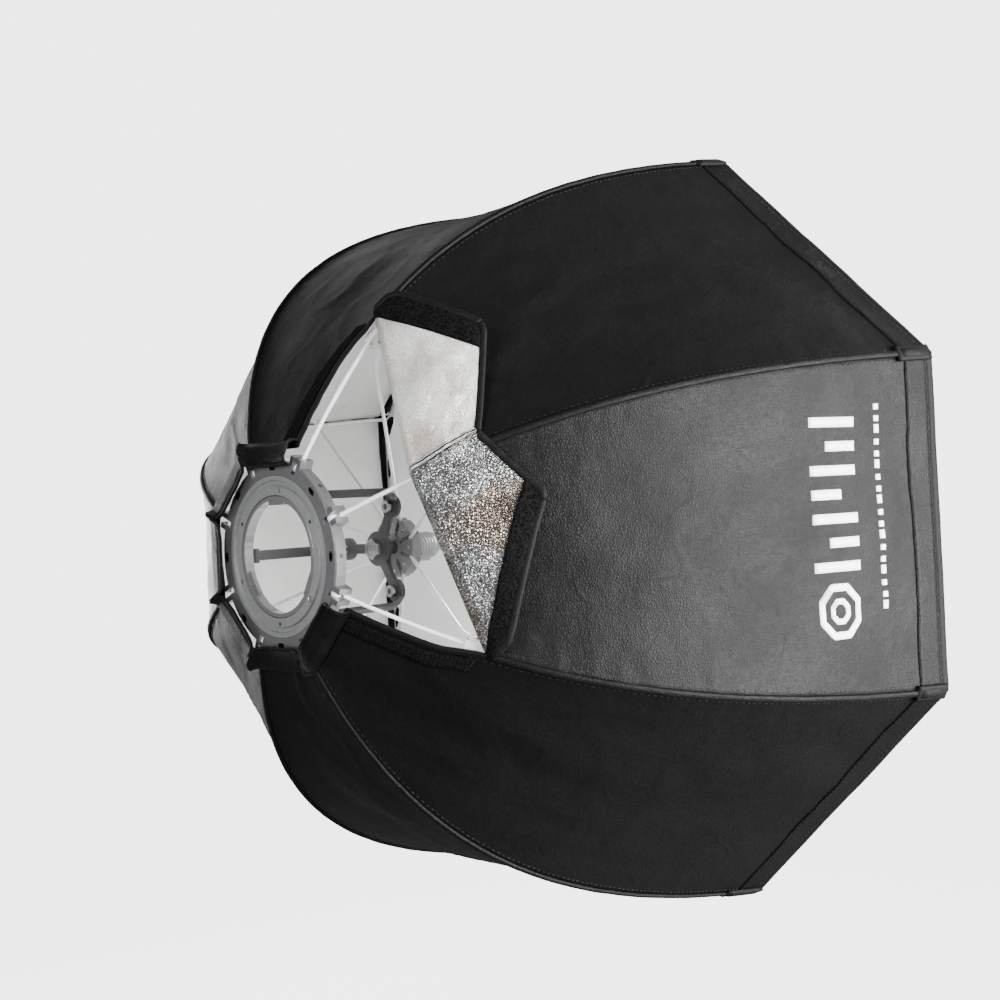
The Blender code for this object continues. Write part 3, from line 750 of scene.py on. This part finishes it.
FLAPS = {
    "upper": {"corner": (67.5, OPENING_OUTER), "angle": 45.0, "panel": 1, "silver": SILVER_FINE,
              "outer": ((0.0, 0.0), (-6.0, 6.0), (-10.5, 18.0), (-8.5, 27.0), (-2.0, 36.0), (42.0, 83.0),
                        (49.0, 88.5)),
              "end": ((49.0, 88.5), (58.0, 89.5), (72.0, 85.0), (118.0, 71.0), (141.0, 63.0)),
              "seam": ((154.5, 0.0), (152.0, 20.0), (146.0, 44.0), (141.0, 63.0)), "bulge": 5.0,
              "strip_end": (73.0, 85.5)},
    "side": {"corner": (-22.5, OPENING_OUTER), "angle": 0.0, "panel": 8, "silver": SILVER_COARSE,
             "outer": ((0.0, 0.0), (-1.0, 10.0), (2.5, 23.0), (14.0, 32.5), (80.0, 81.0), (94.0, 92.0)),
             "end": ((94.0, 92.0), (99.5, 94.5), (106.0, 91.0), (136.0, 76.0), (163.0, 64.0)),
             "seam": ((156.0, 0.0), (157.0, 22.0), (160.0, 44.0), (163.0, 64.0)), "bulge": 6.0,
             "strip_end": (112.0, 84.0)},
}

class FlapShape:
    """One half of the flap: a soft patch given by a across (0 to 1) and b outwards from the fold (0 to 1)."""

    def __init__(self, spec):
        middle = hood_corner(FIRST_RIB, OPENING_MIDDLE)
        corner = hood_corner(*spec["corner"])
        self.spec = spec
        self.seed = spec["angle"]
        self.origin, self.x_axis, self.y_axis, self.up, self.length = flap_axes(corner, middle, spec["angle"])

    def plane(self, a, b):
        spec = self.spec
        fold = (a * self.length, 0.0)
        far = poly_at(spec["end"], a)
        left = poly_at(spec["outer"], b)
        right = poly_at(spec["seam"], b)
        c10, c01, c11 = (self.length, 0.0), spec["end"][0], spec["end"][-1]
        point = []
        for axis in (0, 1):
            ruled = (1 - b) * fold[axis] + b * far[axis] + (1 - a) * left[axis] + a * right[axis]
            corners = a * (1 - b) * c10[axis] + (1 - a) * b * c01[axis] + a * b * c11[axis]
            point.append(ruled - corners)
        return point

    def height(self, a, b):
        seed = self.seed
        rise = 4.6 * smooth(b / 0.09)
        body = self.spec["bulge"] * math.sin(math.pi * min(1.0, b)) * (0.4 + 0.6 * math.sin(math.pi * a))
        crease = 1.7 * noise.noise(Vector((a * 3.1 + seed, b * 2.3, 0.4)))
        crease += 0.7 * noise.noise(Vector((a * 9.0, b * 7.0, seed)))
        pucker = 1.9 * noise.noise(Vector((b * 11.0, seed, 2.0))) * math.exp(-(1.0 - a) * 16.0)
        return rise + body - 7.5 * b * b + (crease + pucker) * smooth(b / 0.2)

    def place(self, a, b, lift=0.0):
        x, y = self.plane(a, b)
        return self.origin + (self.x_axis * x + self.y_axis * y + self.up * (self.height(a, b) + lift)) * MM

    def strip_share(self, b):
        """How far across the hook strip reaches at b: up to the line from the corner to the strip's end."""
        end_x, end_y = self.spec["strip_end"]
        low, high = 0.0, 0.9
        for _ in range(24):
            a = (low + high) / 2
            x, y = self.plane(a, b)
            if x * end_y - y * end_x < 0.0:
                low = a
            else:
                high = a
        return low

def skin_flap(obj, body, levels, across):
    """Like skin, with the flap's share growing away from the fold. Both halves share it at their seam."""
    other = "flap_side" if body == "flap_upper" else "flap_upper"
    shares = []
    for vertex, b, a in zip(obj.data.vertices, levels, across):
        share = smooth(b / 0.3)
        joined = 0.5 * smooth((a - 0.62) / 0.38)
        found = held_weights(vertex.co, body, share)
        found[body] = share * (1.0 - joined)
        found[other] = share * joined
        shares.append(found)
    follow(obj, body, shares)

def build_flap(side):
    spec = FLAPS[side]
    body = f"flap_{side}"
    shape = FlapShape(spec)
    place, up = shape.place, shape.up
    here, right, outward = place(0.5, 0.5), place(0.52, 0.5), place(0.5, 0.52)
    flip = (right - here).cross(outward - here).dot(up) < 0.0

    def sheet(name, spots, columns, lift, material):
        """Sheet through a grid of shares (a, b) of the patch."""
        verts = [place(a, b, lift) for a, b in spots]
        faces = grid_faces(len(spots) // columns, columns, flip)
        made = new_mesh(name, verts, faces, material, [tuple(v) for v in verts])
        skin_flap(made, body, [b for _, b in spots], [a for a, _ in spots])
        return made

    def tube(name, paths, width, height, material):
        """Tape along paths of (a, b, lift)."""
        parts = Parts()
        for path in paths:
            parts.tape([place(*spot) for spot in path], [up] * len(path), width, height)
        rings = [spot for path in paths for spot in path for _ in range(TAPE_SIDES)]
        made = parts.build(name, material)
        skin_flap(made, body, [b for _, b, _ in rings], [a for a, _, _ in rings])

    spots = [(a, b) for b in span(0.0, 1.0, 45) for a in span(0.0, 1.0, 59)]
    cloth = sheet(f"flap_{side}_cloth", spots, 60, 0.0, [spec["silver"], HOOD, TAPE])
    thicken(cloth, 1.2, 1, 1)
    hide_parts(body)
    edges = [(0.0, b, -0.5) for b in span(0.03, 1.0, 40)], [(a, 1.0, -0.5) for a in span(0.0, 1.0, 40)]
    tube(f"flap_{side}_binding", edges, 7.0, 4.2, TAPE)
    spots = [(a, b) for b in span(0.012, 0.987, 49) for a in span(0.004, shape.strip_share(b), 9)]
    strip = sheet(f"flap_{side}_hook_strip", spots, 10, 0.9, HOOK)
    thicken(strip, 1.4)
    seam = span(0.03, 0.99, 40)
    tube(f"flap_{side}_seam", [[(0.985, b, 0.5) for b in seam]], 5.0, 2.6, spec["silver"])
    if side == "side":
        tube("flap_seam_cover", [[(0.99, b, -1.8) for b in seam]], 4.6, 1.0, TAPE)
    else:
        path = [(0.985, b, 1.6 + 0.5 * noise.noise(Vector((b * 40.0, 0.0, 0.0)))) for b in seam]
        tube("flap_seam_thread", [path], 1.5, 1.3, THREAD)
    return cloth

# --- front diffuser --------------------------------------------------------------------------

def diffuser_edge(angle):
    """Radius of the cloth's edge at this angle: the octagon, drawn in round the rib ends."""
    place = ((angle - FIRST_RIB) / PITCH) % 1.0
    off = math.radians((place - 0.5) * PITCH)
    return min(DIFFUSER_SIDE / math.cos(off), DIFFUSER_CORNER)

def diffuser_weights(point):
    """The rim's shares at the cloth's edge, fading into the diffuser's own body towards the middle."""
    radius = math.hypot(point[0], point[2]) / MM
    angle = math.degrees(math.atan2(point[2], -point[0]))
    share = min(1.0, radius / diffuser_edge(angle))
    rim = {}
    for name, value in hood_weights((point[0] * 1.02, 0.0, point[2] * 1.02)).items():
        name = name.replace("rib_", "tip_")
        rim[name] = rim.get(name, 0.0) + value * share
    rim["diffuser"] = 1.0 - share
    return rim

def build_diffuser():
    rings, spokes = 30, 96
    verts, flat = [at(0.0, 0.0, DIFFUSER_DEPTH)], [(0.0, 0.0, 0.0)]
    for i in range(1, rings + 1):
        reach = i / rings
        held = 1.0 - reach ** 12
        for j in range(spokes):
            angle = 360.0 * j / spokes
            near_corner = abs(((angle - FIRST_RIB) / PITCH + 0.5) % 1.0 - 0.5) * PITCH
            pull = math.cos(near_corner * 0.9) * math.exp(-near_corner / 9.0) * smooth((reach - 0.45) / 0.5)
            ripple = 1.6 * noise.noise(Vector((angle / 5.0, 0.0, 1.0))) * smooth((reach - 0.78) / 0.2)
            depth = DIFFUSER_DEPTH + (ripple + 2.4 * pull) * held - 3.0 * (1.0 - reach * reach)
            point = at(angle, diffuser_edge(angle) * reach, depth)
            verts.append(point)
            flat.append((point.x, point.z, 0.0))
    faces = [(0, 1 + (j + 1) % spokes, 1 + j) for j in range(spokes)]
    faces += [tuple(1 + corner for corner in face) for face in tube_faces(rings, spokes)]
    cloth = new_mesh("diffuser_cloth", verts, faces, WHITE_CLOTH, flat)
    skin(cloth, "diffuser", diffuser_weights)
    thicken(cloth, 0.8)
    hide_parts("front_diffuser")
    parts = Parts()
    points = [at(angle, diffuser_edge(angle) - 6.0, DIFFUSER_DEPTH + 0.2) for angle in span(0.0, 360.0, 192)]
    parts.tape(points, [FORWARD] * len(points), 14.0, 2.2, 8, 0.6)
    tape = parts.build("diffuser_edge", TAPE)
    skin(tape, "diffuser", diffuser_weights)
    return cloth

# --- ribs and small hardware -----------------------------------------------------------------

def across_way(angle):
    """Direction of the pins at this angle."""
    return radial(angle).cross(FORWARD).normalized()

def rib_point(angle, t):
    r, z = bezier(RIB_CURVE, t)
    return at(angle, PIN_RADIUS + float(r), PIN_DEPTH + float(z))

def build_rib(k):
    angle = rib_angle(k)
    across = across_way(angle)
    parts = Parts()
    shares = span(0.012, 0.997, 70)
    normals = []
    for t in shares:
        step = rib_point(angle, min(1.0, t + 0.01)) - rib_point(angle, t - 0.01)
        normals.append(step.cross(across).normalized())
    parts.tape([rib_point(angle, t) for t in shares], normals, ROD, ROD, 12)
    parts.disc(rib_point(angle, 0.0), across, 4.3, -2.1, 2.1, 20)
    rod = flat_edges(parts.build(f"rib_rod_{k}", LOOKS["rod_white"]), 50.0)
    skin(rod, f"rib_{k}", rib_weights(k))
    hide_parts(f"rib_inner_{k}", f"rib_outer_{k}")
    steel = Parts()
    here = bezier(RIB_CURVE, CLIP_AT)
    along = bezier(RIB_CURVE, CLIP_AT + 0.001) - here
    along = along / np.hypot(*along)
    pin = here + np.array((-along[1], along[0])) * CLIP_DROP
    centre = at(angle, PIN_RADIUS + float(pin[0]), PIN_DEPTH + float(pin[1]))
    for side in (-1.0, 1.0):
        steel.disc(centre, across * side, 2.6, 4.4, 5.6, 16, 0.8)
        steel.disc(rib_point(angle, CLIP_AT - 0.012), across * side, 1.5, 4.4, 5.1, 12, 0.4)
    hardware(steel, f"clip_rivets_{k}", LOOKS["bright_steel"], f"rib_{k}")

def ring_details():
    """Pin heads, screws and painted shade of recesses on the hinge ring and adapter plate."""
    pins, dark, screws = Parts(), Parts(), Parts()
    for k in range(1, SIDES + 1):
        angle, middle = rib_angle(k), mid_angle(k)
        for side in (-1.0, 1.0):
            pins.disc(at(angle, PIN_RADIUS, PIN_DEPTH), across_way(angle) * side, 2.7, 7.3, 8.5, 16, 0.7)
        # Painted shade: flat black discs on the ring stand for the shade in its slots and holes.
        for shift in (-2.4, -1.2, 0.0, 1.2, 2.4):  # overlapping discs make a slot
            dark.disc(at(middle, 76.6, 0.0) + round_way(middle) * shift * MM, -FORWARD, 2.2, -0.4, 0.12, 14)
        dark.disc(at(middle, 83.0, 6.0), radial(middle), 2.0, -0.6, 0.15, 14)
        screws.disc(at(middle + 11.0, 76.5, 12.0), FORWARD, 2.4, -0.2, 1.4, 16, 0.5)
    for angle in (60.0, -60.0, 180.0):
        screws.disc(at(angle, 63.0, 17.8), FORWARD, 2.7, -0.2, 1.8, 6)
        screws.disc(at(angle + 22.0, 58.0, 0.0), -FORWARD, 2.6, -0.3, 0.7, 16, 0.3)
    # Painted shade: black discs for the shade in three holes of the adapter plate.
    for angle in (30.0, 150.0, 270.0):
        dark.disc(at(angle, 58.0, 0.0), -FORWARD, 1.7, -0.5, 0.1, 12)
    hardware(pins, "hinge_pin_heads", LOOKS["bright_steel"], "speedring")
    hardware(dark, "ring_recess_shade", DARK, "speedring")
    hardware(screws, "ring_screws", LOOKS["bright_steel"], "speedring")

def ring_tape(parts, angles, radius, depth, width, height, sides):
    """Tape round the axis."""
    parts.tape([at(a, radius, depth) for a in angles], [radial(a) for a in angles], width, height, sides)

def runner_details():
    """Rivets, studs and painted shade of notches on the hub, ridges of the grip, and rings of the shaft."""
    rivets, dark, studs = Parts(), Parts(), Parts()
    for k in range(1, SIDES + 1):
        out = radial(rib_angle(k))
        rivets.disc(at(mid_angle(k), 21.5, RUNNER_FACE), -FORWARD, 1.5, -0.3, 0.7, 12, 0.4)
        studs.disc(at(mid_angle(k), 25.6, RUNNER_FACE), -FORWARD, 1.1, -0.3, 0.5, 10)
        # Painted shade: a flat black block on the hub's face stands for each notch.
        dark.brick(at(rib_angle(k), 13.2, RUNNER_FACE), out, -FORWARD, 4.0, 2.2, 0.3)
    hardware(rivets, "runner_rivets", LOOKS["bright_steel"], "runner")
    hardware(dark, "runner_notch_shade", DARK, "runner")
    grip = Parts()
    for i in range(5):
        ring_tape(grip, span(-64.0, 244.0, 48), 12.0, 157.5 + 3.6 * i, 1.6, 1.4, 8)
    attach(grip.build("grip_ridges", LOOKS["cast_silver"]), "runner")
    hardware(studs, "runner_studs", LOOKS["runner_grey"], "runner")
    shaft = Parts()
    for depth in (205.0, 212.0, 352.0):
        ring_tape(shaft, span(0.0, 360.0, 32), 6.0, depth, 1.2, 0.5, 6)
    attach(shaft.build("shaft_rings", DARK), "speedring")

def print_marks():
    """Plain printed mark: an octagon outline, bars and a row of dashes."""
    k = 8
    verts, faces, flat = [], [], []

    def stroke(path, width):
        base = len(verts)
        for i, (s, x) in enumerate(path):
            ahead = path[min(i + 1, len(path) - 1)]
            behind = path[max(i - 1, 0)]
            ds, dx = ahead[0] - behind[0], ahead[1] - behind[1]
            size = math.hypot(ds, dx) or 1.0
            for side in (-0.5, 0.5):
                here = (s - dx / size * width * side, x + ds / size * width * side)
                verts.append(surface(k, here[0], here[1], 0.28))
                flat.append((here[0] * MM, here[1] * MM, 0.0))
        for a in range(base, base + 2 * len(path) - 2, 2):
            faces.append((a, a + 1, a + 3, a + 2))

    centre_s, centre_x = 134.0, -70.0
    for radius, width in ((22.0, 6.5), (22.0 * 0.42, 5.0)):
        turns = [math.radians(a) for a in np.arange(22.5, 450.0, PITCH)]
        corner = [(centre_s + radius * math.cos(a), centre_x + radius * math.sin(a)) for a in turns]
        stroke([(p[0] + (q[0] - p[0]) * j / 8, p[1] + (q[1] - p[1]) * j / 8)
                for p, q in zip(corner, corner[1:]) for j in range(8)], width)
    full = (108, 160)
    for i, (low, high) in enumerate((full, (108, 142), full, (126, 160), full, (108, 142), full)):
        stroke([(s, -32.0 + 20.5 * i) for s in span(low, high, 8)], 8.5)
    for i in range(18):
        x = -72.0 + 10.2 * i
        stroke([(80.0, end) for end in span(x, x + (5.0 if i % 3 else 7.5), 4)], 6.0)
    mark = new_mesh("printed_mark", verts, faces, PRINT, flat)
    bm = bmesh.new()
    bm.from_mesh(mark.data)
    outward = surface_normal(k, 100.0)
    for face in bm.faces:
        if face.normal.dot(outward) < 0.0:
            face.normal_flip()
    bm.to_mesh(mark.data)
    bm.free()
    sew(mark, k)
    thicken(mark, 0.2)

# --- build -----------------------------------------------------------------------------------

slots = {row["node"]: row["material_slot"] for row in frame["record"]["subparts"]}
for node, obj in frame["nodes"].items():
    look = LOOKS.get(slots.get(node))
    if look is not None:
        obj.data.materials.clear()
        obj.data.materials.append(look)

panels = {}
for k in range(1, SIDES + 1):
    panels[k] = build_panel(k)
    panel_trim(k)
    band(k, 9.0, HEM, 0.9, f"hem_{k}", HOOD, 6, 40, 1.5)
    band(k, 36.0, 50.0, -CLOTH - 0.1, f"inner_band_{k}", HOOK, 5, 30, 6.0)
    if k not in OPENED:
        skirt(k)
    stitches(k)
    seam_piping(k)
    build_rib(k)
for k in FREED:
    hook_band(k)
flaps = {side: build_flap(side) for side in FLAPS}
diffuser = build_diffuser()
ring_details()
runner_details()
print_marks()

# --- cut sizes of the cloth ------------------------------------------------------------------

def cut_area(k):
    """Area of panel k laid flat, in square metres."""
    rows, columns = 200, 40
    area = 0.0
    for i in range(rows):
        for j in range(columns):
            end = last_s(k, -1.0 + 2.0 * (j + 0.5) / columns)
            area += 2.0 * half_width(end * (i + 0.5) / rows) / columns * end / rows
    return area * MM * MM

for k, panel in panels.items():
    2.0 * half_width(0.0) * MM
    cut_area(k)

# --- studio ----------------------------------------------------------------------------------

def area_light(name, location, target, size, power):
    data = bpy.data.lights.new(name, "AREA")
    data.shape = "RECTANGLE"
    data.size, data.size_y = size
    data.energy = power
    lamp = link(name, data)
    lamp.location = location
    lamp.rotation_mode = "QUATERNION"
    lamp.rotation_quaternion = (Vector(target) - Vector(location)).to_track_quat("-Z", "Y")
    return lamp

# Place, target and size are in metres, power in watts. far_side is weak, because from its height it gives the
# upper panels a sheen; far_low lights the far panels without that.
area_light("key_side", (-2.9, -0.98, -0.06), (-0.33, -0.3, 0.0), (3.0, 1.9), 900.0)
area_light("top", (0.4, 0.2, 2.6), (0.0, -0.2, 0.0), (2.0, 2.0), 2.0)
area_light("rear_fill", (-0.5, 2.7, 0.7), (0.0, 0.0, 0.0), (1.5, 1.5), 100.0)
area_light("front_fill", (0.9, -2.9, 0.8), (0.0, -0.4, 0.0), (1.8, 1.8), 90.0)
area_light("far_side", (2.8, -0.9, 0.9), (0.3, -0.3, 0.0), (2.2, 2.2), 38.0)
area_light("far_low", (2.9, -0.98, 0.0), (0.33, -0.3, 0.0), (3.0, 0.8), 220.0)
# Two small lamps inside the hood, behind the diffuser.
for lamp in (area_light("inside_front", (0.0, -0.365, 0.05), (-0.12, -0.12, -0.2), (0.08, 0.08), 2.2),
             area_light("inside_rear", (0.0, -0.2, 0.0), (0.05, -0.42, -0.1), (0.08, 0.08), 1.3)):
    lamp.visible_camera = False

world = bpy.data.worlds.new("studio")
bpy.context.scene.world = world
world.use_nodes = True
sky = world.node_tree.nodes["Background"].inputs
sky["Color"].default_value = (1.0, 1.0, 1.0, 1.0)
sky["Strength"].default_value = 0.3

def studio_surface(name, mesh, glow):
    """Part of the plain surroundings: seen, but not mirrored in the black cloth."""
    look = Look(f"{name}_pale", grey(0.08), 0.9, 0.0, 0.1)
    look.shader.inputs["Emission Color"].default_value = (1.0, 1.0, 1.0, 1.0)
    look.shader.inputs["Emission Strength"].default_value = glow
    mesh.materials.append(look.mat)
    obj = link(name, mesh)
    obj.visible_glossy = False
    obj.visible_diffuse = False
    obj.visible_shadow = False

REACH = 9.0  # metres from the object to the backdrop
LEVEL = -1.25  # height of the floor in metres
floor_mesh = bpy.data.meshes.new("studio_floor")
corners = [(x * REACH, y * REACH, LEVEL) for x, y in ((-1, -1), (1, -1), (1, 1), (-1, 1))]
floor_mesh.from_pydata(corners, [], [(0, 1, 2, 3)])
studio_surface("studio_floor", floor_mesh, 3.96)
dome_mesh = bpy.data.meshes.new("studio_backdrop")
dome = bmesh.new()
bmesh.ops.create_uvsphere(dome, u_segments=48, v_segments=24, radius=REACH)
dome.to_mesh(dome_mesh)
dome.free()
studio_surface("studio_backdrop", dome_mesh, 4.0)

camera_data = bpy.data.cameras.new("camera")
camera_data.lens = 49.52
camera_data.sensor_width = 36.0
camera = link("camera", camera_data)
azimuth, elevation, roll = math.radians(225.831), math.radians(0.092), math.radians(-2.892)
flat_reach = math.cos(elevation)
back = Vector((math.sin(azimuth) * flat_reach, -math.cos(azimuth) * flat_reach, math.sin(elevation)))
right = Vector((math.cos(azimuth), math.sin(azimuth), 0.0))
up = back.cross(right)
right, up = right * math.cos(roll) + up * math.sin(roll), up * math.cos(roll) - right * math.sin(roll)
turn = Matrix((right, up, back)).transposed()
camera.matrix_world = Matrix.Translation((-0.98446, 0.68535, 0.04102)) @ turn.to_4x4()
bpy.context.scene.camera = camera

bpy.context.view_layer.update()
